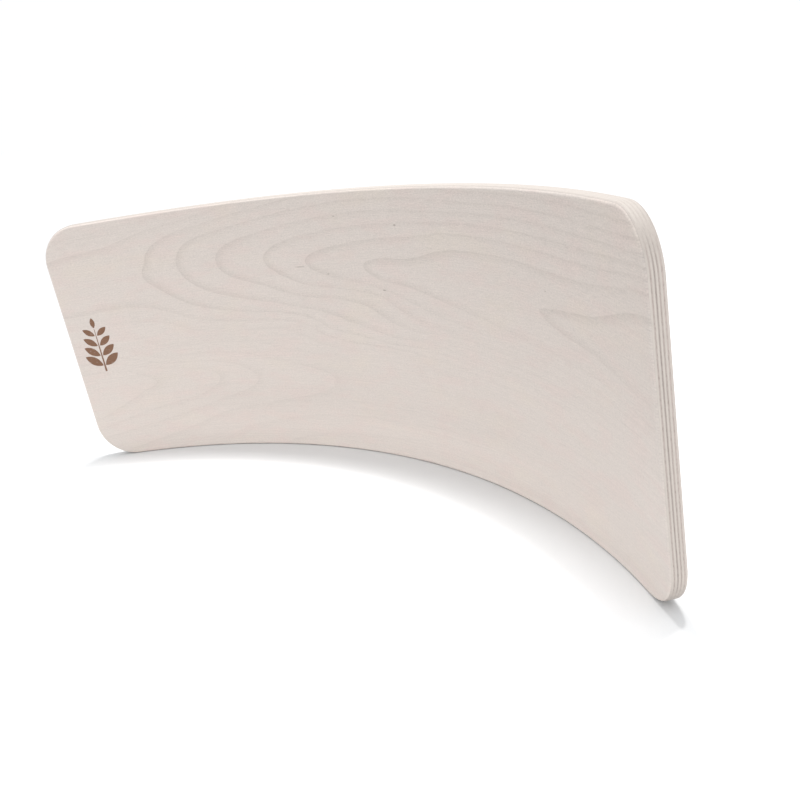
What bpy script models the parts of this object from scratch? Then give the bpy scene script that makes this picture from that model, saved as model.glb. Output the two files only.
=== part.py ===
"""Balance board: eleven wood veneers, pressed and glued into one rectangular sheet with a round bend.

The board stands on one long edge. X runs along its length, Y through its depth with the hollow side
facing -Y, and Z up across its width. The origin is the middle of the box's underside.
"""

import math

import bmesh
import bpy

# Driving dimensions, in metres.
FLAT_LENGTH = 0.864     # the sheet's length along its hollow face, as if laid flat
WIDTH = 0.300
THICKNESS = 0.014
BEND_RADIUS = 0.600     # from the bend's axis to the hollow face
CORNER_RADIUS = 0.045
RIM_ROUND = 0.003       # the round-over along both rims
PLY_COUNT = 11
GLUE_GAP = 0.0003       # the clear space kept where each glue line lies

# How finely the round shapes are cut.
BEND_FACETS = 36
CORNER_SEGMENTS = 8

# Derived dimensions.
PLY_THICKNESS = (THICKNESS - (PLY_COUNT - 1) * GLUE_GAP) / PLY_COUNT
FACET_LENGTH = FLAT_LENGTH / BEND_FACETS
SNAP_DISTANCE = 1e-7

# Base colour, roughness and metallic value of each kind of veneer.
FACE_FINISH = ((0.66, 0.60, 0.55, 1.0), 0.55, 0.0)
CROSS_FINISH = ((0.66, 0.61, 0.56, 1.0), 0.70, 0.0)
LENGTHWISE_FINISH = ((0.48, 0.43, 0.39, 1.0), 0.75, 0.0)


def clear_scene():
    """Remove every object, so that the board is built in an empty scene."""
    for leftover in list(bpy.data.objects):
        bpy.data.objects.remove(leftover, do_unlink=True)


def ply_name(number):
    """Name a ply by its place, counted from the hollow face, and by the way its grain runs."""
    if number == 1:
        return "ply_01_hollow_face"
    if number == PLY_COUNT:
        return f"ply_{number:02d}_rocker_face"
    grain = "cross" if number % 2 == 0 else "lengthwise"
    return f"ply_{number:02d}_{grain}"


def ply_finish(number):
    """Give the finish of a ply: the two faces, the cross plies and the lengthwise ones differ."""
    if number in (1, PLY_COUNT):
        return FACE_FINISH
    return CROSS_FINISH if number % 2 == 0 else LENGTHWISE_FINISH


def veneer_material(name, finish):
    """Make one ply's own material."""
    color, roughness, metallic = finish
    material = bpy.data.materials.new(name)
    material.use_nodes = True
    shader = material.node_tree.nodes["Principled BSDF"]
    shader.inputs["Base Color"].default_value = color
    shader.inputs["Roughness"].default_value = roughness
    shader.inputs["Metallic"].default_value = metallic
    return material


def rim_inset(depth):
    """How far the rounded rim lies inside the full outline, at a depth below the hollow face."""
    from_nearest_face = min(depth, THICKNESS - depth)
    if from_nearest_face >= RIM_ROUND:
        return 0.0
    rise = RIM_ROUND - from_nearest_face
    return RIM_ROUND - math.sqrt(RIM_ROUND ** 2 - rise ** 2)


def sheet_outline(inset):
    """Points of the flat sheet's outline, a rectangle with round corners drawn in by the inset."""
    radius = CORNER_RADIUS - inset
    reach = FLAT_LENGTH / 2 - CORNER_RADIUS
    corner_centres = (
        (reach, WIDTH - CORNER_RADIUS),
        (-reach, WIDTH - CORNER_RADIUS),
        (-reach, CORNER_RADIUS),
        (reach, CORNER_RADIUS),
    )
    points = []
    for quarter, (centre_x, centre_z) in enumerate(corner_centres):
        for step in range(CORNER_SEGMENTS + 1):
            turn = math.pi / 2 * (quarter + step / CORNER_SEGMENTS)
            points.append((centre_x + radius * math.cos(turn), centre_z + radius * math.sin(turn)))
    return points


def add_face(mesh, depth):
    """Draw the sheet's face at one depth, and return the closed loop of edges round it."""
    corners = [mesh.verts.new((x, depth, z)) for x, z in sheet_outline(rim_inset(depth))]
    face = mesh.faces.new(corners)
    return list(face.edges)


def cut_across(mesh):
    """Cut the flat sheet across at the lines where it will bend."""
    for line in range(1, BEND_FACETS):
        x = line * FACET_LENGTH - FLAT_LENGTH / 2
        bmesh.ops.bisect_plane(
            mesh,
            geom=mesh.verts[:] + mesh.edges[:] + mesh.faces[:],
            dist=SNAP_DISTANCE,
            plane_co=(x, 0.0, 0.0),
            plane_no=(1.0, 0.0, 0.0),
        )


def bent_place(flat):
    """Move a point of the flat sheet onto the bend, whose facets run straight between the cuts."""
    along = (flat.x + FLAT_LENGTH / 2) / FACET_LENGTH
    facet = min(max(math.floor(along), 0), BEND_FACETS - 1)
    share = along - facet
    radius = BEND_RADIUS + flat.y
    start = (facet * FACET_LENGTH - FLAT_LENGTH / 2) / BEND_RADIUS
    end = start + FACET_LENGTH / BEND_RADIUS
    x = radius * ((1 - share) * math.sin(start) + share * math.sin(end))
    y = radius * ((1 - share) * math.cos(start) + share * math.cos(end))
    return (x, y, flat.z)


def make_ply(number, bend_axis):
    """Build one veneer: a flat rounded sheet with a shaped rim, cut across and bent round the axis."""
    top = (number - 1) * (PLY_THICKNESS + GLUE_GAP)
    mesh = bmesh.new()
    hollow_side = add_face(mesh, top)
    rocker_side = add_face(mesh, top + PLY_THICKNESS)
    bmesh.ops.bridge_loops(mesh, edges=hollow_side + rocker_side)
    cut_across(mesh)
    for corner in mesh.verts:
        corner.co = bent_place(corner.co)
    bmesh.ops.recalc_face_normals(mesh, faces=mesh.faces[:])

    name = ply_name(number)
    data = bpy.data.meshes.new(name)
    mesh.to_mesh(data)
    mesh.free()
    data.materials.append(veneer_material(f"veneer_{number:02d}", ply_finish(number)))
    ply = bpy.data.objects.new(name, data)
    ply.parent = bend_axis
    bpy.context.collection.objects.link(ply)
    return ply


def centre_depth(bend_axis, plies):
    """Move the bend's axis so that the board's box is centred on the origin through its depth."""
    depths = [corner.co.y for ply in plies for corner in ply.data.vertices]
    bend_axis.location.y = -(min(depths) + max(depths)) / 2


def main():
    """Build the eleven plies round one bend axis, and stand the board over the origin."""
    clear_scene()
    bend_axis = bpy.data.objects.new("bend_axis", None)
    bpy.context.collection.objects.link(bend_axis)
    plies = [make_ply(number, bend_axis) for number in range(1, PLY_COUNT + 1)]
    centre_depth(bend_axis, plies)


if __name__ == "__main__":
    main()
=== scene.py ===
"""The look of a bent plywood balance board: eleven smooth veneers, their finishes, and a plain stage.

The board stands on one long edge, as its frame does. Every veneer is shaped from a flat sheet, whose
own places (along it, down through its thickness and up across it) also carry the grain of the wood.
"""
import math
from typing import NamedTuple

import bmesh
import bpy
import numpy as np
from bpy.props import FloatProperty, FloatVectorProperty, IntProperty, PointerProperty
from mathutils import Matrix, Vector


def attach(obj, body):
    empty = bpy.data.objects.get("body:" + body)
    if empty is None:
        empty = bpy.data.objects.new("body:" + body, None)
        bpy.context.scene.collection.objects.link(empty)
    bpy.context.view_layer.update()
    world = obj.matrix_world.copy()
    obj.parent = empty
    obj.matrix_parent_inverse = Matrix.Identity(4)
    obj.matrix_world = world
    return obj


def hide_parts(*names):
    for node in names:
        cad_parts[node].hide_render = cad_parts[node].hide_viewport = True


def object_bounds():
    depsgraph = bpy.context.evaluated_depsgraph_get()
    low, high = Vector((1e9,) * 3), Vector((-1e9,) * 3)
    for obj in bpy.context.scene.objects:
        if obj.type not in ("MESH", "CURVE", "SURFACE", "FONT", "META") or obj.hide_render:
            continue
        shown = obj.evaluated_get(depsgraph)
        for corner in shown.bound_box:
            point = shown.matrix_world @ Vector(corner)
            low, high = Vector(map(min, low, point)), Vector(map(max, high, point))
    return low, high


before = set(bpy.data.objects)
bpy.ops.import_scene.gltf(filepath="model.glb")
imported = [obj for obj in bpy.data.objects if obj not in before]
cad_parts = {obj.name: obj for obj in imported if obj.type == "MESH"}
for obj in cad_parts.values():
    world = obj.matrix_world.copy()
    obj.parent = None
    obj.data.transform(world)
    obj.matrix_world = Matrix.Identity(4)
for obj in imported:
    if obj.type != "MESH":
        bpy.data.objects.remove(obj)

bl_info = {
    "name": "Bent Plywood Balance Board",
    "version": (1, 0, 0),
    "blender": (4, 5, 0),
    "location": "3D View > Sidebar > Balance Board",
    "description": "Builds a curved balance board from pressed veneers, with its grain, print and stage",
    "category": "Object",
}

CAD_BOX = [list(corner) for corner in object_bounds()]
PLY_NODES = sorted(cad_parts)
PLY_COUNT = len(PLY_NODES)
BODY = "root"
BOARD_WIDTH = CAD_BOX[1][2] - CAD_BOX[0][2]
ROCKER_CREST = CAD_BOX[1][1]

MILLIMETRE = 0.001
QUARTER_TURN = math.pi / 2
SHEET_PLACE = "sheet_place"
GROWTH = "growth"
RING_SLOPE = "ring_slope"
BAKE_MAP = "OFBake"

# Where each growth ring of the face veneer shows, in millimetres along the sheet from its middle and
# up from its lower edge. A ring's number rises towards the heart of the upper figure.
GROWTH_RINGS = (
    (7, ((430, 231), (345, 212), (255, 197), (295, 184), (410, 166))),
    (6, ((430, 247), (220, 239), (60, 229), (-5, 219), (20, 205), (95, 191), (260, 164), (420, 150))),
    (5, ((415, 256), (120, 256), (-40, 243), (-88, 227), (-50, 208), (45, 188), (170, 161), (420, 142))),
    (4, ((395, 262), (115, 266), (-60, 259), (-146, 234), (-95, 201), (10, 189), (100, 158), (420, 133))),
    (3, ((420, 271), (95, 277), (-90, 271), (-190, 254), (-212, 236), (-200, 217), (-150, 201), (-55, 185),
         (50, 154), (200, 138), (420, 125))),
    (2, ((420, 281), (95, 289), (-115, 282), (-240, 263), (-267, 236), (-255, 214), (-215, 195),
         (-105, 174), (0, 148), (125, 135), (420, 117))),
    (1, ((415, 290), (145, 296), (-145, 290), (-285, 266), (-308, 243), (-315, 227), (-300, 211),
         (-270, 191), (-175, 171), (-75, 151), (20, 135), (220, 122), (420, 108))),
    (0, ((-180, 298), (-300, 280), (-410, 264), (-425, 190), (-270, 171), (-100, 152), (110, 122),
         (420, 99))),
    (-1, ((-255, 297), (-355, 288), (-420, 176), (-295, 166), (-150, 150), (20, 125), (420, 88))),
    (-1, ((-175, 3), (-115, 18), (70, 31), (420, 44))),
    (-2, ((-330, 144), (-140, 123), (60, 94), (165, 66), (60, 46), (-140, 39), (-260, 11))),
    (-3, ((-320, 123), (-140, 107), (-92, 97), (-80, 87), (-125, 66), (-255, 45), (-390, 8))),
    (-4, ((-300, 115), (-205, 101), (-250, 64), (-425, 28))),
    (-5, ((-310, 109), (-255, 100), (-285, 70), (-400, 47))),
    (-6, ((-365, 109), (-340, 98), (-355, 84), (-430, 52))),
)
# Wood runs far straighter along the sheet than up it, so the field between the rings is squeezed.
ALONG_SQUEEZE = 0.45
RING_SMOOTHING = 1e-4
FIELD_UNIT = 0.1
NEAREST_ANCHOR = 1e-12

# Small dark pin marks in the face veneer: along, up, half length and half height, in millimetres.
PIN_MARKS = (
    (-97, 221, 8.0, 0.5),
    (-58, 212, 1.8, 0.7),
    (-34, 274, 1.6, 0.6),
    (52, 263, 2.0, 1.2),
    (20, 195, 2.6, 0.8),
    (266, 218, 1.5, 0.5),
)


class Wire:
    """One value in a node tree. Arithmetic on it adds Math nodes."""

    def __init__(self, recipe, socket):
        self.recipe = recipe
        self.socket = socket

    def math(self, operation, *others):
        values = dict(enumerate((self,) + others))
        node = self.recipe.add("ShaderNodeMath", {"operation": operation}, values)
        return Wire(self.recipe, node.outputs[0])

    def flipped(self, operation, other):
        node = self.recipe.add("ShaderNodeMath", {"operation": operation}, {0: other, 1: self})
        return Wire(self.recipe, node.outputs[0])

    def __add__(self, other):
        return self.math("ADD", other)

    __radd__ = __add__

    def __sub__(self, other):
        return self.math("SUBTRACT", other)

    def __rsub__(self, other):
        return self.flipped("SUBTRACT", other)

    def __mul__(self, other):
        return self.math("MULTIPLY", other)

    __rmul__ = __mul__

    def __truediv__(self, other):
        return self.math("DIVIDE", other)

    def __rtruediv__(self, other):
        return self.flipped("DIVIDE", other)

    def __pow__(self, other):
        return self.math("POWER", other)

    def __abs__(self):
        return self.math("ABSOLUTE")

    def root(self):
        return self.math("SQRT")

    def sine(self):
        return self.math("SINE")

    def cosine(self):
        return self.math("COSINE")

    def fraction(self):
        return self.math("FRACT")

    def at_least(self, other):
        return self.math("MAXIMUM", other)

    def at_most(self, other):
        return self.math("MINIMUM", other)

    def above(self, other):
        return self.math("GREATER_THAN", other)

    def held(self):
        """Keep the value between 0 and 1."""
        return self.at_least(0.0).at_most(1.0)

    def eased(self, low, high):
        """Rise smoothly from 0 at low to 1 at high."""
        node = self.recipe.add(
            "ShaderNodeMapRange",
            {"interpolation_type": "SMOOTHSTEP"},
            {"Value": self, "From Min": low, "From Max": high},
        )
        return Wire(self.recipe, node.outputs[0])


class Recipe:
    """Adds nodes to a shader tree or a geometry tree."""

    def __init__(self, tree):
        self.tree = tree

    def add(self, kind, settings=None, values=None):
        """Add one node of a type, make its settings, and then give its sockets values or links."""
        node = self.tree.nodes.new(kind)
        for name, setting in (settings or {}).items():
            setattr(node, name, setting)
        for key, value in (values or {}).items():
            source = value.socket if isinstance(value, Wire) else value
            if isinstance(source, bpy.types.NodeSocket):
                self.tree.links.new(source, node.inputs[key])
            else:
                node.inputs[key].default_value = source
        return node

    def split(self, vector):
        """Give a vector's three parts."""
        node = self.add("ShaderNodeSeparateXYZ", values={0: vector})
        return [Wire(self, output) for output in node.outputs]

    def joined(self, x, y, z):
        """Join three values into a vector."""
        return self.add("ShaderNodeCombineXYZ", values={0: x, 1: y, 2: z}).outputs[0]


class Texture(NamedTuple):
    """A noise: its grains' size along, through and up the sheet in metres, its shift and its character."""

    along: float
    through: float
    up: float
    shift: float
    detail: float = 2.0
    roughness: float = 0.5
    span: tuple = (0.0, 1.0)    # the levels between which a patch of it comes in


# How far the textures of each face veneer, and of each ply's edge, are shifted for its number.
FACE_SHIFT = 1.7
EDGE_SHIFT = 2.3

# The textures of a face veneer.
FIBRE = Texture(0.014, 1.0, 0.0009, 11.0, 3.0, 0.65)
SPECK = Texture(0.0024, 1.0, 0.0012, 13.0, 2.0, 0.7)
STREAK = Texture(0.11, 1.0, 0.0019, 17.0, 3.0)
CLOUD = Texture(0.16, 1.0, 0.05, 19.0)
PORE = Texture(0.0050, 1.0, 0.0008, 23.0, 1.0, span=(0.60, 0.72))
BLUSH = Texture(0.045, 1.0, 0.016, 29.0, 3.0, span=(0.44, 0.66))
STRAW = Texture(0.10, 1.0, 0.045, 31.0, 3.0, span=(0.50, 0.72))

# The textures that make its growth rings sway, break up and fade.
RING_SWAY = Texture(0.022, 1.0, 0.005, 0.0, 3.0)
RING_BREAKS = Texture(0.008, 1.0, 0.0011, 3.0, 3.0, span=(0.42, 0.60))
RING_FADING = Texture(0.11, 1.0, 0.035, 5.0, span=(0.30, 0.62))

# The textures of a ply's edge, and the worn ink.
GLUE_WANDER = Texture(0.03, 1.0, 0.03, 2.0)
EDGE_MOTTLE = Texture(0.011, 0.004, 0.011, 0.0, 3.0, 0.6)
EDGE_LINES = Texture(0.02, 0.00028, 0.02, 4.0)
EDGE_DASHES = Texture(0.0030, 0.0004, 0.0030, 6.0, span=(0.50, 0.64))
INK_WEAR = Texture(0.004, 1.0, 0.0012, 2.0, 3.0, span=(0.55, 0.80))

# Sockets of a Mix node that mixes colours: its share, its two colours and its result.
MIX_SHARE, MIX_FIRST, MIX_SECOND, MIX_RESULT = 0, 6, 7, 2

WOOD_GLOSS = 0.35


class Finish(Recipe):
    """A wood finish: a Principled material whose patterns lie in the flat sheet's own places."""

    def __init__(self, name):
        self.material = bpy.data.materials.new(name)
        self.material.use_nodes = True
        super().__init__(self.material.node_tree)
        self.shader = self.tree.nodes["Principled BSDF"]
        place = self.add("ShaderNodeAttribute", {"attribute_name": SHEET_PLACE})
        self.along, self.depth, self.up = self.split(place.outputs["Vector"])

    def carried(self, name):
        """Read a number that the mesh carries."""
        node = self.add("ShaderNodeAttribute", {"attribute_name": name})
        return Wire(self, node.outputs["Fac"])

    def noise(self, texture, seed=0.0):
        """Noise of one texture, shifted by a seed so that no two veneers are alike."""
        shifted = self.along / texture.along + (seed + texture.shift)
        vector = self.joined(shifted, self.depth / texture.through, self.up / texture.up)
        values = {"Vector": vector, "Scale": 1.0, "Detail": texture.detail, "Roughness": texture.roughness}
        return Wire(self, self.add("ShaderNodeTexNoise", values=values).outputs["Fac"])

    def patches(self, texture, seed=0.0):
        """The patches where a texture's noise is high."""
        return self.noise(texture, seed).eased(*texture.span)

    def blend(self, share, first, second):
        """Mix two colours."""
        values = {MIX_SHARE: share, MIX_FIRST: first, MIX_SECOND: second}
        return self.add("ShaderNodeMix", {"data_type": "RGBA"}, values).outputs[MIX_RESULT]

    def tinted(self, colour, brightness):
        """Brighten or darken a colour by a value that varies."""
        node = self.add("ShaderNodeVectorMath", {"operation": "SCALE"}, {0: colour, "Scale": brightness})
        return node.outputs[0]

    def relief(self, height, distance, strength):
        """Turn a height into surface relief of a given depth in metres."""
        values = {"Height": height, "Distance": distance, "Strength": strength}
        bump = self.add("ShaderNodeBump", values=values)
        self.tree.links.new(bump.outputs["Normal"], self.shader.inputs["Normal"])

    def colour(self, socket):
        self.tree.links.new(socket, self.shader.inputs["Base Color"])

    def roughness(self, wire):
        self.tree.links.new(wire.socket, self.shader.inputs["Roughness"])

    def lacquer(self, coat, coat_roughness):
        """Lay a thin clear coat over the wood."""
        self.shader.inputs["Coat Weight"].default_value = coat
        self.shader.inputs["Coat Roughness"].default_value = coat_roughness
        self.shader.inputs["Specular IOR Level"].default_value = WOOD_GLOSS


class BoardSizes(bpy.types.PropertyGroup):
    """The board's shape, as its frame gives it."""

    flat_length: FloatProperty(
        name="Flat Length", description="Length of the sheet along its hollow face", default=0.864,
        unit="LENGTH"
    )
    bend_radius: FloatProperty(
        name="Bend Radius", description="Radius of the hollow face", default=0.6, unit="LENGTH"
    )
    thickness: FloatProperty(
        name="Thickness", description="Thickness of the whole laminate", default=0.014, unit="LENGTH"
    )
    corner_radius: FloatProperty(
        name="Corner Radius", description="Radius of the four corners", default=0.045, unit="LENGTH"
    )
    rim_round: FloatProperty(
        name="Rim Round", description="Round-over along both rims", default=0.0032, unit="LENGTH"
    )
    glue_groove: FloatProperty(
        name="Glue Groove", description="Depth of the fine groove along each glue line", default=0.00006,
        unit="LENGTH"
    )
    face_columns: IntProperty(name="Face Columns", description="Cuts along a face veneer", default=260)
    face_rows: IntProperty(name="Face Rows", description="Cuts up a face veneer", default=140)
    core_columns: IntProperty(name="Core Columns", description="Cuts along a core veneer", default=160)
    core_rows: IntProperty(name="Core Rows", description="Cuts up a core veneer", default=64)


class BoardColours(bpy.types.PropertyGroup):
    """The colours of the whitewashed wood and of the print on it."""

    face: FloatVectorProperty(
        name="Face", description="Whitewashed wood between the rings", subtype="COLOR", size=4,
        default=(0.620, 0.556, 0.511, 1.0)
    )
    ring: FloatVectorProperty(
        name="Ring", description="Darker wood along a growth ring", subtype="COLOR", size=4,
        default=(0.30, 0.25, 0.22, 1.0)
    )
    blush: FloatVectorProperty(
        name="Blush", description="Pinker patches where the wash is thin", subtype="COLOR", size=4,
        default=(0.631, 0.541, 0.499, 1.0)
    )
    straw: FloatVectorProperty(
        name="Straw", description="Yellower patches where the wash is thin", subtype="COLOR", size=4,
        default=(0.634, 0.564, 0.500, 1.0)
    )
    side_grain: FloatVectorProperty(
        name="Side Grain", description="Ply edges cut along the grain", subtype="COLOR", size=4,
        default=(0.620, 0.560, 0.508, 1.0)
    )
    end_grain: FloatVectorProperty(
        name="End Grain", description="Ply edges cut across the grain", subtype="COLOR", size=4,
        default=(0.460, 0.382, 0.350, 1.0)
    )
    glue: FloatVectorProperty(
        name="Glue", description="Cured glue between two plies", subtype="COLOR", size=4,
        default=(0.26, 0.215, 0.185, 1.0)
    )
    ink: FloatVectorProperty(
        name="Ink", description="Brown ink of the printed sprig", subtype="COLOR", size=4,
        default=(0.20, 0.096, 0.050, 1.0)
    )


class StageSettings(bpy.types.PropertyGroup):
    """The floor, the lights and the camera."""

    floor: FloatVectorProperty(
        name="Floor", description="Colour of the floor", subtype="COLOR", size=4,
        default=(0.78, 0.78, 0.78, 1.0)
    )
    surround: FloatProperty(
        name="Surround", description="Strength of the even white light all round", default=1.04
    )
    far_light: FloatProperty(
        name="Far Light", description="Strength of the even light from high above", default=1.0
    )
    near_light: FloatProperty(
        name="Near Light", description="Power of the lamp above the board's back", default=11.5, unit="POWER"
    )
    lens: FloatProperty(name="Lens", description="Focal length", default=40.0, unit="CAMERA")


class BalanceBoardSettings(bpy.types.PropertyGroup):
    """Everything that a user would change."""

    sizes: PointerProperty(type=BoardSizes)
    colours: PointerProperty(type=BoardColours)
    stage: PointerProperty(type=StageSettings)


def settings():
    return bpy.context.scene.balance_board


def bend_axis_depth(sizes):
    """Where the bend's axis stands, so that the rocker face's crest meets the frame's."""
    return ROCKER_CREST - sizes.bend_radius - sizes.thickness


def bent(sizes, along, depth, up):
    """Carry a place on the flat sheet onto the bend."""
    turn = along / sizes.bend_radius
    radius = sizes.bend_radius + depth
    axis = bend_axis_depth(sizes)
    return (radius * math.sin(turn), axis + radius * math.cos(turn), up)


# A block's side counts as its outermost layer past this place, where 1 is the side itself.
OUTERMOST = 0.999

VENEER_INPUTS = (
    ("Flat Length", "NodeSocketFloat"),
    ("Width", "NodeSocketFloat"),
    ("Thickness", "NodeSocketFloat"),
    ("Corner Radius", "NodeSocketFloat"),
    ("Rim Round", "NodeSocketFloat"),
    ("Bend Radius", "NodeSocketFloat"),
    ("Bend Axis", "NodeSocketFloat"),
    ("Ply Start", "NodeSocketFloat"),
    ("Ply Thickness", "NodeSocketFloat"),
    ("Hollow Groove", "NodeSocketFloat"),
    ("Rocker Groove", "NodeSocketFloat"),
    ("Columns", "NodeSocketInt"),
    ("Rows", "NodeSocketInt"),
    ("Layers", "NodeSocketInt"),
    ("Finish", "NodeSocketMaterial"),
)


def bent_veneer_tree():
    """A geometry tree that shapes one veneer: a round-cornered sheet with a shaped rim, then bent."""
    tree = bpy.data.node_groups.new("bent_veneer", "GeometryNodeTree")
    for name, kind in VENEER_INPUTS:
        tree.interface.new_socket(name, in_out="INPUT", socket_type=kind)
    tree.interface.new_socket("Veneer", in_out="OUTPUT", socket_type="NodeSocketGeometry")
    recipe = Recipe(tree)
    given = recipe.add("NodeGroupInput").outputs
    size = {name: Wire(recipe, given[name]) for name, kind in VENEER_INPUTS if kind == "NodeSocketFloat"}

    block = recipe.add(
        "GeometryNodeMeshCube",
        values={
            "Size": (2.0, 2.0, 2.0),
            "Vertices X": given["Columns"],
            "Vertices Y": given["Layers"],
            "Vertices Z": given["Rows"],
        },
    )
    across, through, upward = recipe.split(recipe.add("GeometryNodeInputPosition").outputs[0])

    layer = 0.5 + 0.5 * (through * QUARTER_TURN).sine()
    depth = size["Ply Start"] + size["Ply Thickness"] * layer
    nearest_face = depth.at_most(size["Thickness"] - depth)
    rise = (size["Rim Round"] - nearest_face).at_least(0.0)
    rounding = size["Rim Round"] - (size["Rim Round"] ** 2 - rise ** 2).at_least(0.0).root()
    hollow_groove = size["Hollow Groove"] * (0.0 - through).above(OUTERMOST)
    rocker_groove = size["Rocker Groove"] * through.above(OUTERMOST)
    inset = rounding + hollow_groove + rocker_groove

    half_height = size["Width"] * 0.5 - inset
    height = (upward * QUARTER_TURN).sine() * half_height
    corner = size["Corner Radius"] - inset
    into_corner = (1.0 - (half_height - abs(height)) / corner).held()
    end_cut = corner * (1.0 - (1.0 - into_corner ** 2).at_least(0.0).root())
    half_length = size["Flat Length"] * 0.5 - inset - end_cut
    along = (across * QUARTER_TURN).sine() * half_length
    up = height + size["Width"] * 0.5

    stored = recipe.add(
        "GeometryNodeStoreNamedAttribute",
        {"data_type": "FLOAT_VECTOR", "domain": "POINT"},
        {"Geometry": block.outputs["Mesh"], "Name": SHEET_PLACE, "Value": recipe.joined(along, depth, up)},
    )
    turn = along / size["Bend Radius"]
    radius = size["Bend Radius"] + depth
    placed = recipe.joined(radius * turn.sine(), size["Bend Axis"] + radius * turn.cosine(), up)
    bent_sheet = recipe.add(
        "GeometryNodeSetPosition", values={"Geometry": stored.outputs["Geometry"], "Position": placed}
    )
    realized = recipe.add("GeometryNodeRealizeInstances", values={"Geometry": bent_sheet.outputs["Geometry"]})
    finished = recipe.add(
        "GeometryNodeSetMaterial",
        values={"Geometry": realized.outputs["Geometry"], "Material": given["Finish"]},
    )
    recipe.add("NodeGroupOutput", values={"Veneer": finished.outputs["Geometry"]})
    return tree


def shaped_mesh(name, tree, values):
    """Run a geometry tree with the given inputs, and keep its result as a plain mesh."""
    holder = bpy.data.objects.new(name + "_holder", bpy.data.meshes.new(name + "_holder"))
    bpy.context.scene.collection.objects.link(holder)
    modifier = holder.modifiers.new("shape", "NODES")
    modifier.node_group = tree
    for item in tree.interface.items_tree:
        if item.name in values:
            modifier[item.identifier] = values[item.name]
    graph = bpy.context.evaluated_depsgraph_get()
    evaluated = holder.evaluated_get(graph)
    mesh = bpy.data.meshes.new_from_object(evaluated, preserve_all_data_layers=True, depsgraph=graph)
    mesh.name = name
    holder.modifiers.remove(modifier)
    bpy.data.objects.remove(holder)
    return mesh


def add_piece(name, mesh):
    """Put a finished mesh in the scene, at the origin."""
    piece = bpy.data.objects.new(name, mesh)
    bpy.context.scene.collection.objects.link(piece)
    return piece


def sheet_places(mesh):
    """Each corner's place on the flat sheet: along, depth and up, in metres."""
    places = np.zeros(len(mesh.vertices) * 3, np.float32)
    mesh.attributes[SHEET_PLACE].data.foreach_get("vector", places)
    return places.reshape(-1, 3).astype(float)


class GrainField:
    """A smooth surface through the growth rings, whose height is the ring number."""

    step = 0.002
    margin_cells = 3

    def __init__(self, rings, sizes):
        spots = np.array([(along, up, ring) for ring, line in rings for along, up in line], float)
        anchors = self.squeezed(spots[:, 0] * MILLIMETRE, spots[:, 1] * MILLIMETRE)
        count = len(anchors)
        system = np.zeros((count + 3, count + 3))
        system[:count, :count] = self.pull(anchors, anchors) + RING_SMOOTHING * np.eye(count)
        system[:count, count] = system[count, :count] = 1.0
        system[:count, count + 1:] = anchors
        system[count + 1:, :count] = anchors.T
        weights = np.linalg.solve(system, np.concatenate([spots[:, 2], np.zeros(3)]))

        self.columns = math.ceil(sizes.flat_length / self.step) + self.margin_cells
        self.rows = math.ceil(BOARD_WIDTH / self.step) + self.margin_cells
        self.start = -(self.columns - 1) / 2 * self.step
        along = self.start + np.arange(self.columns) * self.step
        up = (np.arange(self.rows) - 1) * self.step
        places = self.squeezed(np.tile(along, self.rows), np.repeat(up, self.columns))
        heights = self.pull(places, anchors) @ weights[:count] + weights[count] + places @ weights[count + 1:]
        self.heights = heights.reshape(self.rows, self.columns)
        self.slopes = np.hypot(*np.gradient(self.heights, self.step))

    @staticmethod
    def squeezed(along, up):
        return np.stack([along * ALONG_SQUEEZE, up], axis=1) / FIELD_UNIT

    @staticmethod
    def pull(places, anchors):
        """How strongly each anchor bends the surface at each place."""
        distance = np.linalg.norm(places[:, None] - anchors[None], axis=2)
        return distance ** 2 * np.log(np.maximum(distance, NEAREST_ANCHOR))

    def read(self, table, along, up):
        """Read a table of the field between its grid points."""
        past_end = 1.001
        column = np.clip((along - self.start) / self.step, 0, self.columns - past_end)
        row = np.clip(up / self.step + 1, 0, self.rows - past_end)
        left, lower = column.astype(int), row.astype(int)
        right_share, upper_share = column - left, row - lower
        below = table[lower, left] * (1 - right_share) + table[lower, left + 1] * right_share
        above = table[lower + 1, left] * (1 - right_share) + table[lower + 1, left + 1] * right_share
        return below * (1 - upper_share) + above * upper_share


def carry_number(mesh, name, values):
    """Store one number for each corner of a mesh."""
    attribute = mesh.attributes.new(name, "FLOAT", "POINT")
    attribute.data.foreach_set("value", values.astype(np.float32))


# Where the parts of a veneer lie on its bake map, each side of which is 1 long.
MAP_MARGIN = 0.01
MAP_REACH = 0.98
SEEN_SIDE_START = 0.13
SEEN_SIDE_HEIGHT = 0.86
HIDDEN_SIDE_SIZE = (0.04, 0.02)
LONG_RIM_STARTS = (0.07, 0.045)
SHORT_RIM_STARTS = (0.115, 0.095)
RIM_HEIGHT = 0.015
FLAT_ENOUGH = 0.001


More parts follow.
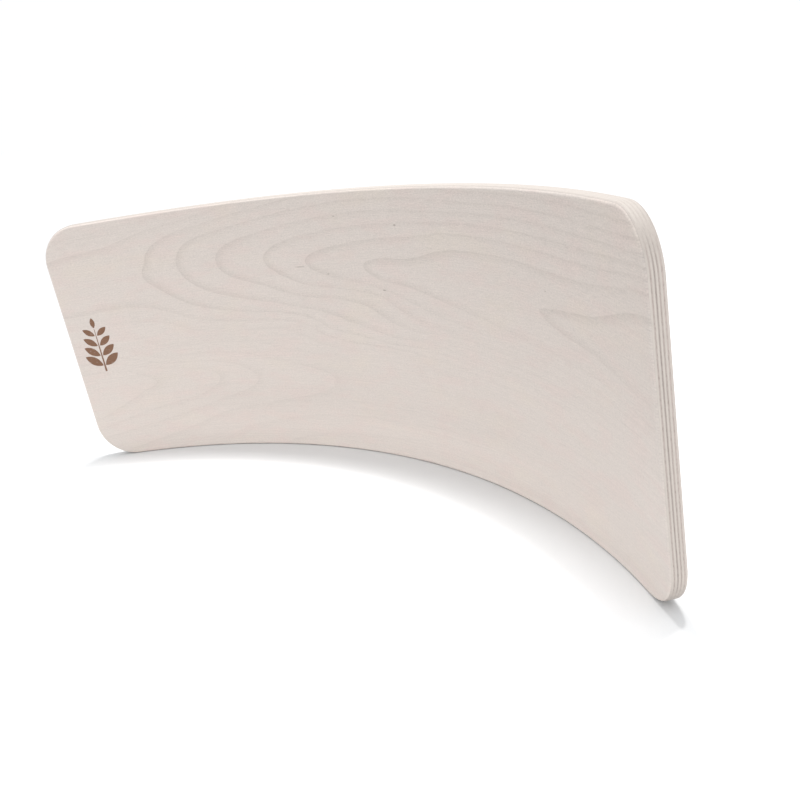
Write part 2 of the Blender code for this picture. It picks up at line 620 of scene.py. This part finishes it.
def lay_bake_map(mesh, sizes, seen_side):
    """Map a veneer for baking. The side that is seen, if any, takes nearly all of the map."""
    layer = mesh.uv_layers.new(name=BAKE_MAP)
    places = sheet_places(mesh)
    along = places[:, 0] / sizes.flat_length + 0.5
    up = places[:, 2] / BOARD_WIDTH
    depth = places[:, 1]
    through = (depth - depth.min()) / (depth.max() - depth.min())
    corners = np.zeros(len(mesh.loops), np.int32)
    mesh.loops.foreach_get("vertex_index", corners)
    uv = np.zeros((len(mesh.loops), 2), np.float32)
    for polygon in mesh.polygons:
        loops = slice(polygon.loop_start, polygon.loop_start + polygon.loop_total)
        points = corners[loops]
        if np.ptp(through[points]) < FLAT_ENOUGH:
            side = "hollow" if through[points[0]] < 0.5 else "rocker"
            if side == seen_side:
                uv[loops, 0] = MAP_MARGIN + MAP_REACH * along[points]
                uv[loops, 1] = SEEN_SIDE_START + SEEN_SIDE_HEIGHT * up[points]
            else:
                uv[loops, 0] = MAP_MARGIN + HIDDEN_SIDE_SIZE[0] * along[points]
                uv[loops, 1] = MAP_MARGIN + HIDDEN_SIDE_SIZE[1] * up[points]
        elif np.ptp(along[points]) > np.ptp(up[points]):
            is_upper = int(up[points].mean() > 0.5)
            uv[loops, 0] = MAP_MARGIN + MAP_REACH * along[points]
            uv[loops, 1] = LONG_RIM_STARTS[is_upper] + RIM_HEIGHT * through[points]
        else:
            is_right = int(along[points].mean() > 0.5)
            uv[loops, 0] = MAP_MARGIN + MAP_REACH * up[points]
            uv[loops, 1] = SHORT_RIM_STARTS[is_right] + RIM_HEIGHT * through[points]
    layer.data.foreach_set("uv", uv.ravel())


# Where round a corner the short rim takes over from the long one, as shares of the turn.
CORNER_TURN = (0.35, 0.9)

# Keeps that share at 0 along the straight rims, where neither end nor side is reached.
STRAIGHT_RIM = 0.001


def end_share(finish, sizes):
    """Tell which way a rim faces: 1 on the two short rims, 0 on the two long ones."""
    straight_length = sizes.flat_length / 2 - sizes.corner_radius
    straight_height = BOARD_WIDTH / 2 - sizes.corner_radius
    to_end = ((abs(finish.along) - straight_length) / sizes.corner_radius).at_least(0.0)
    to_side = ((abs(finish.up - BOARD_WIDTH / 2) - straight_height) / sizes.corner_radius).at_least(0.0)
    return (to_end / (to_end + to_side + STRAIGHT_RIM)).eased(*CORNER_TURN)


# Painted light and shade over the hollow face: its colour level in the middle, how much darker it is made to
# the right and to the top, and how much faster it darkens to the top at the right end.
PAINTED_LIGHT_LEVEL = 1.004
PAINTED_SHADE_TO_RIGHT = 0.057
PAINTED_SHADE_TO_TOP = 0.113
PAINTED_TOP_SHADE_GROWTH = 0.048

# Painted light at the foot of the hollow face, against the shade near the floor: how much paler its colour is
# made, how much of that is lost at its two ends, and how much paler the strip along its very edge is made.
# The heights are in metres.
PAINTED_FOOT_LIGHT = 0.22
PAINTED_FOOT_LIGHT_LOSS = 0.20
FOOT_HEIGHT = 0.065
PAINTED_EDGE_STRIP_LIGHT = 0.09
EDGE_STRIP = (0.001, 0.012)


def place_to_right(finish, sizes):
    """Where a place lies along the sheet, from -1 at its left end to 1 at its right end."""
    return finish.along / (sizes.flat_length / 2)


def painted_light_tone(finish, sizes):
    """Painted light and shade over the hollow face: paler at its left end and at its foot, darker to the
    right and to the top.
    """
    right = place_to_right(finish, sizes)
    above_middle = finish.up / BOARD_WIDTH - 0.5
    top_shade = PAINTED_SHADE_TO_TOP + PAINTED_TOP_SHADE_GROWTH * right
    pale = PAINTED_LIGHT_LEVEL - PAINTED_SHADE_TO_RIGHT * right - top_shade * above_middle
    painted_foot_level = PAINTED_FOOT_LIGHT - PAINTED_FOOT_LIGHT_LOSS * right * right
    # Painted light: paler towards the foot and along the very edge, against the shade near the floor.
    foot = painted_foot_level * (1.0 - finish.up.eased(0.0, FOOT_HEIGHT))
    return pale + foot + PAINTED_EDGE_STRIP_LIGHT * (1.0 - finish.up.eased(*EDGE_STRIP))


# How far the sway, the fibres and the specks push a ring aside, in metres.
SWAY_PUSH = 0.0030
FIBRE_PUSH = 0.0026
SPECK_PUSH = 0.0016

# A ring's dark line fades over these widths on its two sides, and a soft band of late wood lies past it.
FLATTEST_SLOPE = 6.0
LINE_PAST = 0.0024
LINE_BEFORE = 0.0010
LATE_WOOD_WIDTH = 0.014
LATE_WOOD_SHARE = (0.05, 0.55)

# How dark a line is, how much of it is left where it breaks or fades, and how dark a band is where the
# rings are crowded and what it gains where they are wide apart.
LINE_DARKNESS = 0.125
LEAST_LINE = 0.20
LEAST_FADED_LINE = 0.45
CROWDED_BAND = 0.055
WIDE_BAND_GAIN = 0.090
RING_CROWDING = (25.0, 80.0)

# Ring numbers between which the upper and the lower figure come in, and how strongly each shows.
UPPER_FIGURE_RISE = (-1.6, 1.2)
LOWER_FIGURE_FALL = (-3.2, -2.4)
BASE_STRENGTH = 0.22
UPPER_STRENGTH = 0.78
LOWER_STRENGTH = 0.24

# The rings settle toward the lower right, between these places along and up the sheet.
SETTLED_ALONG = (-0.04, 0.14)
SETTLED_UP = (0.160, 0.215)
SETTLED_LOSS = 0.66


def growth_rings(finish, seed, fibre, speck):
    """Give how dark the growth rings make the face, and how strongly their late wood shows."""
    slope = finish.carried(RING_SLOPE).at_least(FLATTEST_SLOPE)
    sway = finish.noise(RING_SWAY, seed) - 0.5
    push = sway * SWAY_PUSH + fibre * FIBRE_PUSH + speck * SPECK_PUSH
    growth = finish.carried(GROWTH) + slope * push
    within = growth.fraction()
    past_line = within / slope
    before_line = (1.0 - within) / slope
    line = (1.0 - past_line.eased(0.0, LINE_PAST)).at_least(1.0 - before_line.eased(0.0, LINE_BEFORE))
    band = (1.0 - past_line.eased(0.0, LATE_WOOD_WIDTH)) * (1.0 - within.eased(*LATE_WOOD_SHARE))
    unbroken = LEAST_LINE + (1.0 - LEAST_LINE) * finish.patches(RING_BREAKS, seed)
    unfaded = LEAST_FADED_LINE + (1.0 - LEAST_FADED_LINE) * finish.patches(RING_FADING, seed)

    upper_figure = growth.eased(*UPPER_FIGURE_RISE)
    lower_figure = 1.0 - growth.eased(*LOWER_FIGURE_FALL)
    settled = finish.along.eased(*SETTLED_ALONG) * (1.0 - finish.up.eased(*SETTLED_UP))
    strength = BASE_STRENGTH + UPPER_STRENGTH * upper_figure + LOWER_STRENGTH * lower_figure
    strength = strength * (1.0 - SETTLED_LOSS * settled)
    shoulder = band * (CROWDED_BAND + WIDE_BAND_GAIN * (1.0 - slope.eased(*RING_CROWDING)))
    dark = strength * (line * unbroken * unfaded * LINE_DARKNESS + shoulder)
    return dark, band * strength


# Painted shade: how much darker the colour of the two long rims is made, to tone down the bright light that
# falls on the top rim.
PAINTED_LONG_RIM_SHADE = 0.25

# A face veneer's own rounded edge: how deep its painted highlight starts, how much paler that painted
# highlight makes it, and where the painted shade of a long rim begins.
FACE_EDGE = (0.0001, 0.0008)
PAINTED_EDGE_HIGHLIGHT = 0.05
LONG_RIM_EDGE = (0.0007, 0.0014)

# How strongly the blush and straw patches show, and how dark a pore is alone and within late wood.
PATCH_STRENGTH = 0.75
PORE_DARKNESS = 0.075
LATE_PORE_DARKNESS = 0.12

# How strongly each texture lightens and darkens a face. Its fine grain grows to the top and the right.
FIBRE_TONE = 0.20
SPECK_TONE = 0.30
STREAK_TONE = 0.11
CLOUD_TONE = 0.04
FINE_GRAIN = 0.88
FINE_GRAIN_TO_TOP = 0.78
FINE_GRAIN_TO_CORNER = 0.30

FACE_ROUGHNESS = 0.50
EDGE_ROUGHNESS = 0.50

# The depth of the fine relief on wood and on ink.
WOOD_RELIEF = 0.00008
INK_RELIEF = 0.00003


def face_finish(name, colours, sizes, seed, is_hollow):
    """Whitewashed face veneer: growth rings, fibres, pores and patches under a thin satin lacquer."""
    finish = Finish(name)
    fibre = finish.noise(FIBRE, seed) - 0.5
    speck = finish.noise(SPECK, seed) - 0.5
    streak = finish.noise(STREAK, seed) - 0.5
    cloud = finish.noise(CLOUD, seed) - 0.5
    pore = finish.patches(PORE, seed)
    blush = finish.patches(BLUSH, seed)
    straw = finish.patches(STRAW, seed)
    ring, late_wood = growth_rings(finish, seed, fibre, speck)

    wood = finish.blend(blush * PATCH_STRENGTH, tuple(colours.face), tuple(colours.blush))
    wood = finish.blend(straw * PATCH_STRENGTH, wood, tuple(colours.straw))
    dark = ring + pore * (PORE_DARKNESS + LATE_PORE_DARKNESS * late_wood)
    wood = finish.blend(dark, wood, tuple(colours.ring))
    nearest_face = finish.depth.at_most(sizes.thickness - finish.depth)
    # Painted shade on the long rims, to tone down the bright light on the top rim.
    on_long_rim = (1.0 - end_share(finish, sizes)) * nearest_face.eased(*LONG_RIM_EDGE)
    # Painted highlight along the face veneer's rounded edge.
    painted_rim_highlight = PAINTED_EDGE_HIGHLIGHT * nearest_face.eased(*FACE_EDGE)
    painted_rim_light_and_shade = painted_rim_highlight - (PAINTED_EDGE_HIGHLIGHT + PAINTED_LONG_RIM_SHADE) * on_long_rim
    to_corner = FINE_GRAIN_TO_TOP + FINE_GRAIN_TO_CORNER * place_to_right(finish, sizes)
    fine = FINE_GRAIN + to_corner * finish.up / BOARD_WIDTH
    grain = 1.0 + fine * (FIBRE_TONE * fibre + SPECK_TONE * speck) + STREAK_TONE * streak + CLOUD_TONE * cloud
    # Painted light and shade: the hollow face's colour is made paler in some places and darker in others.
    wash = painted_light_tone(finish, sizes) if is_hollow else 1.0
    wood = finish.tinted(wood, (wash + painted_rim_light_and_shade) * grain)
    finish.colour(pin_marked(finish, wood, colours) if is_hollow else wood)
    finish.roughness(FACE_ROUGHNESS + 0.25 * fibre + 0.20 * speck + 0.4 * ring)
    finish.relief(0.6 * fibre + 0.5 * speck - 0.5 * pore - 1.5 * ring, WOOD_RELIEF, strength=0.5)
    finish.lacquer(coat=0.06, coat_roughness=0.35)
    return finish.material


PIN_DARKNESS = 0.62
PIN_EDGE = (0.3, 1.2)


def pin_marked(finish, wood, colours):
    """Add the few small dark pin marks."""
    darkest = None
    for along, up, half_length, half_height in PIN_MARKS:
        far_along = (finish.along - along * MILLIMETRE) / (half_length * MILLIMETRE)
        far_up = (finish.up - up * MILLIMETRE) / (half_height * MILLIMETRE)
        spot = 1.0 - (far_along * far_along + far_up * far_up).eased(*PIN_EDGE)
        darkest = spot if darkest is None else darkest.at_least(spot)
    return finish.blend(darkest * PIN_DARKNESS, wood, tuple(colours.glue))


# How dark each lengthwise core ply's end grain is, against its colour above. A ply not named here is 1.
END_GRAIN_TONES = {3: 1.02, 5: 0.80, 7: 0.98, 9: 1.12}

# How much end grain a cross ply shows along the long rims.
CROSS_END_GRAIN = 0.30

# How far the glue lines wander, in metres.
WANDER_REACH = 0.00035

# How far in from a glue line the end grain reaches its full depth, and how wide the line is, as shares of
# a ply's thickness.
CORE_EDGE = (0.03, 0.38)
GLUE_WIDTH = 0.14

# How dark the end grain is at a ply's two sides, and how its mottle deepens it.
LEAST_CORE = 0.30
PLAIN_END_GRAIN = 0.50
MOTTLED_END_GRAIN = 0.90

# How dark the dashes and the glue are on every edge, and how much more so on end grain.
SIDE_DASHES = 0.08
END_DASHES = 0.50
SIDE_GLUE = 0.05
END_GLUE = 0.10

# How light an edge is without its mottle and its fine lines, and what each adds.
EDGE_TONE = 0.88
MOTTLE_TONE = 0.16
LINE_TONE = 0.10


def edge_finish(name, colours, sizes, number):
    """Ply edge: its grain shows along one pair of rims and end on along the other."""
    finish = Finish(name)
    seed = number * EDGE_SHIFT
    runs_lengthwise = number % 2 == 1
    faces_end = end_share(finish, sizes)
    end_on = faces_end if runs_lengthwise else CROSS_END_GRAIN * (1.0 - faces_end)

    wander = (finish.noise(GLUE_WANDER, seed) - 0.5) * WANDER_REACH
    mottle = finish.noise(EDGE_MOTTLE, seed)
    lines = finish.noise(EDGE_LINES, seed)
    dashes = finish.patches(EDGE_DASHES, seed)
    tone = END_GRAIN_TONES.get(number, 1.0)
    end_colour = tuple(part * tone for part in colours.end_grain[:3]) + (1.0,)
    ply_thickness = sizes.thickness / PLY_COUNT
    share = (finish.depth + wander - (number - 1) * ply_thickness) / ply_thickness
    from_glue = share.at_most(1.0 - share)
    core = LEAST_CORE + (1.0 - LEAST_CORE) * from_glue.eased(*CORE_EDGE)
    end_grain = end_on * core * (PLAIN_END_GRAIN + MOTTLED_END_GRAIN * mottle)
    wood = finish.blend(end_grain, tuple(colours.side_grain), end_colour)
    wood = finish.blend(dashes * (SIDE_DASHES + END_DASHES * end_on * core), wood, tuple(colours.glue))
    glue = 1.0 - from_glue.eased(0.0, GLUE_WIDTH)
    wood = finish.blend(glue * (SIDE_GLUE + END_GLUE * faces_end), wood, tuple(colours.glue))
    # Painted shade: both long rims are darkened, to tone down the bright light on the top rim.
    painted_rim_shade = 1.0 - PAINTED_LONG_RIM_SHADE * (1.0 - faces_end)
    wood = finish.tinted(wood, painted_rim_shade * (EDGE_TONE + MOTTLE_TONE * mottle + LINE_TONE * lines))
    finish.colour(wood)
    finish.roughness(EDGE_ROUGHNESS + 0.2 * mottle)
    finish.relief(lines - dashes * 0.6, WOOD_RELIEF, strength=0.6)
    finish.lacquer(coat=0.05, coat_roughness=0.4)
    return finish.material


# Cuts through a veneer's thickness, and the sharpest turn that is still shaded smooth, in degrees.
FACE_LAYERS = 13
CORE_LAYERS = 7
SMOOTH_TURN = 32


class BOARD_OT_veneers(bpy.types.Operator):
    """Shape the board's veneers and give each its finish"""

    bl_idname = "board.veneers"
    bl_label = "Veneers"

    def execute(self, context):
        sizes = settings().sizes
        colours = settings().colours
        tree = bent_veneer_tree()
        field = GrainField(GROWTH_RINGS, sizes)
        for number, node in enumerate(PLY_NODES, start=1):
            self.add_veneer(number, node, tree, field, sizes, colours)
        return {"FINISHED"}

    def add_veneer(self, number, node, tree, field, sizes, colours):
        is_face = number in (1, PLY_COUNT)
        name = node.replace("ply", "veneer")
        if is_face:
            material = face_finish(name + "_finish", colours, sizes, number * FACE_SHIFT, number == 1)
        else:
            material = edge_finish(name + "_finish", colours, sizes, number)
        ply_thickness = sizes.thickness / PLY_COUNT
        mesh = shaped_mesh(name, tree, {
            "Flat Length": sizes.flat_length,
            "Width": BOARD_WIDTH,
            "Thickness": sizes.thickness,
            "Corner Radius": sizes.corner_radius,
            "Rim Round": sizes.rim_round,
            "Bend Radius": sizes.bend_radius,
            "Bend Axis": bend_axis_depth(sizes),
            "Ply Start": (number - 1) * ply_thickness,
            "Ply Thickness": ply_thickness,
            "Hollow Groove": 0.0 if number == 1 else sizes.glue_groove,
            "Rocker Groove": 0.0 if number == PLY_COUNT else sizes.glue_groove,
            "Columns": (sizes.face_columns if is_face else sizes.core_columns) + 1,
            "Rows": (sizes.face_rows if is_face else sizes.core_rows) + 1,
            "Layers": FACE_LAYERS if is_face else CORE_LAYERS,
            "Finish": material,
        })
        if is_face:
            places = sheet_places(mesh)
            along = places[:, 0]
            up = places[:, 2] if number == 1 else BOARD_WIDTH - places[:, 2]
            carry_number(mesh, GROWTH, field.read(field.heights, along, up))
            carry_number(mesh, RING_SLOPE, field.read(field.slopes, along, up))
        seen_side = {1: "hollow", PLY_COUNT: "rocker"}.get(number)
        lay_bake_map(mesh, sizes, seen_side)
        mesh.shade_smooth()
        mesh.set_sharp_from_angle(angle=math.radians(SMOOTH_TURN))
        piece = add_piece(name, mesh)
        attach(piece, BODY)
        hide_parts(node)


# The printed sprig, a stem with pairs of leaves and one at its tip. Its lengths are in millimetres.
SPRIG_FOOT = (-397, 116)
STEM_LENGTH = 56
STEM_HALF_WIDTH = 1.17
STEM_TAPER = 0.9
LEAF_PAIRS = 4
LOWEST_PAIR = 8
PAIR_SPACING = 13
LOWEST_LEAF_LENGTH = 24
LEAF_SHORTENING = 2.5
LEAF_WIDTH_SHARE = 0.42
LEAF_OFFSET = 1.6
LEAF_LEAN = math.radians(55)
TIP_LEAF_GAP = 1
TIP_LEAF_LENGTH = 13
TIP_LEAF_WIDTH = 6

# How a leaf's sides swell, the half width at its points, and how finely a stem or a leaf is cut.
LEAF_SWELL = 0.8
LEAF_POINT = 0.05
STRIP_STEPS = 14

# How far the film of ink stands above the wood and reaches into it, in metres.
INK_PROUD = 0.00006
INK_SUNK = 0.0001


def leaf_strip(root, angle, length, width):
    """Pairs of points down the two sides of a leaf, from its root to its tip."""
    direction = Vector((math.cos(angle), math.sin(angle)))
    side = Vector((-math.sin(angle), math.cos(angle)))
    pairs = []
    for step in range(STRIP_STEPS + 1):
        share = step / STRIP_STEPS
        half = width / 2 * math.sin(math.pi * share) ** LEAF_SWELL + LEAF_POINT
        centre = Vector(root) + direction * length * share
        pairs.append((centre + side * half, centre - side * half))
    return pairs


def stem_strip():
    """Pairs of points up the two sides of the stem, which narrows to its tip."""
    foot_x, foot_y = SPRIG_FOOT
    pairs = []
    for share in np.linspace(0.0, 1.0, STRIP_STEPS):
        half = STEM_HALF_WIDTH - STEM_TAPER * share
        height = foot_y + STEM_LENGTH * share
        pairs.append((Vector((foot_x + half, height)), Vector((foot_x - half, height))))
    return pairs


def sprig_strips():
    """The strips of the whole sprig: its stem, its pairs of leaves and the leaf at its tip."""
    foot_x, foot_y = SPRIG_FOOT
    strips = [stem_strip()]
    for pair in range(LEAF_PAIRS):
        height = foot_y + LOWEST_PAIR + pair * PAIR_SPACING
        length = LOWEST_LEAF_LENGTH - pair * LEAF_SHORTENING
        for direction in (1, -1):
            root = (foot_x + direction * LEAF_OFFSET, height)
            angle = QUARTER_TURN - direction * LEAF_LEAN
            strips.append(leaf_strip(root, angle, length, length * LEAF_WIDTH_SHARE))
    tip = (foot_x, foot_y + STEM_LENGTH + TIP_LEAF_GAP)
    strips.append(leaf_strip(tip, QUARTER_TURN, TIP_LEAF_LENGTH, TIP_LEAF_WIDTH))
    return strips


def add_film(mesh, pairs, sizes):
    """Lay a thin closed film of ink along a strip of point pairs, on the hollow face."""
    rings = []
    for left, right in pairs:
        ring = []
        for point, depth in ((left, -INK_PROUD), (right, -INK_PROUD), (right, INK_SUNK), (left, INK_SUNK)):
            place = bent(sizes, point.x * MILLIMETRE, depth, point.y * MILLIMETRE)
            ring.append(mesh.verts.new(place))
        rings.append(ring)
    for first, second in zip(rings, rings[1:]):
        for index in range(4):
            following = (index + 1) % 4
            mesh.faces.new((first[index], first[following], second[following], second[index]))
    mesh.faces.new(rings[0])
    mesh.faces.new(reversed(rings[-1]))


INK_ROUGHNESS = 0.45
INK_LOSS = 0.35


def ink_finish(colours):
    """Brown ink, a little worn where the fibres stand up."""
    finish = Finish("sprig_ink")
    wear = finish.noise(INK_WEAR)
    worn = finish.patches(INK_WEAR) * INK_LOSS
    ink = finish.blend(worn, tuple(colours.ink), tuple(colours.face))
    finish.colour(ink)
    finish.roughness(INK_ROUGHNESS + 0.2 * wear)
    finish.relief(wear, INK_RELIEF, strength=0.4)
    return finish.material


class BOARD_OT_sprig(bpy.types.Operator):
    """Print a plain leafy sprig near one end of the hollow face"""

    bl_idname = "board.sprig"
    bl_label = "Printed Sprig"

    def execute(self, context):
        sizes = settings().sizes
        mesh = bmesh.new()
        for strip in sprig_strips():
            add_film(mesh, strip, sizes)
        bmesh.ops.recalc_face_normals(mesh, faces=mesh.faces[:])
        layer = mesh.verts.layers.float_vector.new(SHEET_PLACE)
        for corner in mesh.verts:
            turn = math.atan2(corner.co.x, corner.co.y - bend_axis_depth(sizes))
            corner[layer] = Vector((turn * sizes.bend_radius, 0.0, corner.co.z))
        data = bpy.data.meshes.new("printed_sprig")
        mesh.to_mesh(data)
        mesh.free()
        data.materials.append(ink_finish(settings().colours))
        piece = add_piece("printed_sprig", data)
        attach(piece, BODY)
        return {"FINISHED"}


FLOOR_GLOSS = 0.1
FLOOR_GRAIN = 40.0


def floor_finish(colour):
    """A pale matt floor, faintly uneven."""
    material = bpy.data.materials.new("pale_floor")
    material.use_nodes = True
    recipe = Recipe(material.node_tree)
    shader = material.node_tree.nodes["Principled BSDF"]
    shader.inputs["Base Color"].default_value = colour
    shader.inputs["Specular IOR Level"].default_value = FLOOR_GLOSS
    place = recipe.add("ShaderNodeTexCoord").outputs["Object"]
    noise = recipe.add("ShaderNodeTexNoise", values={"Vector": place, "Scale": FLOOR_GRAIN})
    roughness = 0.75 + 0.1 * Wire(recipe, noise.outputs["Fac"])
    recipe.tree.links.new(roughness.socket, shader.inputs["Roughness"])
    return material


def add_lamp(name, kind, place, strength):
    """Hang a lamp and point it at the foot of the board."""
    light = bpy.data.lights.new(name, kind)
    light.energy = strength
    lamp = bpy.data.objects.new(name, light)
    lamp.location = place
    lamp.rotation_euler = (-Vector(place)).to_track_quat("-Z", "Y").to_euler()
    bpy.context.scene.collection.objects.link(lamp)
    return light


FLOOR_SIZE = 80.0
FAR_LIGHT_PLACE = (0.02, 0.18, 1.0)
FAR_LIGHT_SPREAD = math.radians(5)
NEAR_LIGHT_PLACE = (-0.07, 0.232, 1.44)
NEAR_LIGHT_SIZE = (0.40, 0.15)
SKY_COLOUR = (0.965, 0.983, 1.0, 1.0)
CAMERA_PLACE = (0.6597, -0.5729, 0.4028)
CAMERA_PAN = -45.35
CAMERA_TILT = 20.03
CAMERA_ROLL = -10.67
SENSOR_WIDTH = 36.0
CLIP_RANGE = (0.01, 200.0)


def add_camera(lens):
    """Look down into the hollow from above one end, with the camera held at a slant."""
    camera = bpy.data.cameras.new("camera")
    camera.lens = lens
    camera.sensor_width = SENSOR_WIDTH
    camera.clip_start, camera.clip_end = CLIP_RANGE
    holder = bpy.data.objects.new("camera", camera)
    pan = Matrix.Rotation(math.radians(-CAMERA_PAN), 4, "Z")
    tilt = Matrix.Rotation(math.radians(90 - CAMERA_TILT), 4, "X")
    roll = Matrix.Rotation(math.radians(CAMERA_ROLL), 4, "Z")
    holder.matrix_world = Matrix.Translation(CAMERA_PLACE) @ pan @ tilt @ roll
    bpy.context.scene.collection.objects.link(holder)
    bpy.context.scene.camera = holder


class BOARD_OT_stage(bpy.types.Operator):
    """Lay the floor, hang the lights and place the camera"""

    bl_idname = "board.stage"
    bl_label = "Stage"

    def execute(self, context):
        stage = settings().stage
        bpy.ops.mesh.primitive_plane_add(size=FLOOR_SIZE)
        floor = context.active_object
        floor.name = "floor"
        floor.data.materials.append(floor_finish(tuple(stage.floor)))
        far_light = add_lamp("far_light", "SUN", FAR_LIGHT_PLACE, stage.far_light)
        far_light.angle = FAR_LIGHT_SPREAD
        near_light = add_lamp("near_light", "AREA", NEAR_LIGHT_PLACE, stage.near_light)
        near_light.shape = "RECTANGLE"
        near_light.size, near_light.size_y = NEAR_LIGHT_SIZE
        world = bpy.data.worlds.new("soft_sky")
        world.use_nodes = True
        background = world.node_tree.nodes["Background"]
        background.inputs["Color"].default_value = SKY_COLOUR
        background.inputs["Strength"].default_value = stage.surround
        context.scene.world = world
        context.scene.view_settings.view_transform = "Standard"
        add_camera(stage.lens)
        return {"FINISHED"}


OPERATORS = (BOARD_OT_veneers, BOARD_OT_sprig, BOARD_OT_stage)


class BOARD_PT_panel(bpy.types.Panel):
    """The balance board's tools"""

    bl_idname = "BOARD_PT_panel"
    bl_label = "Balance Board"
    bl_space_type = "VIEW_3D"
    bl_region_type = "UI"
    bl_category = "Balance Board"

    def draw(self, context):
        layout = self.layout
        for group in (settings().sizes, settings().colours, settings().stage):
            box = layout.box()
            for name in group.bl_rna.properties.keys():
                if name not in ("rna_type", "name"):
                    box.prop(group, name)
        for operator in OPERATORS:
            layout.operator(operator.bl_idname)


GROUPS = (BoardSizes, BoardColours, StageSettings, BalanceBoardSettings)


def register():
    for item in GROUPS + OPERATORS + (BOARD_PT_panel,):
        bpy.utils.register_class(item)
    bpy.types.Scene.balance_board = PointerProperty(type=BalanceBoardSettings)


def unregister():
    del bpy.types.Scene.balance_board
    for item in reversed(GROUPS + OPERATORS + (BOARD_PT_panel,)):
        bpy.utils.unregister_class(item)


def main():
    """Build the board and its stage."""
    register()
    bpy.ops.board.veneers()
    bpy.ops.board.sprig()
    bpy.ops.board.stage()


if __name__ == "__main__":
    main()
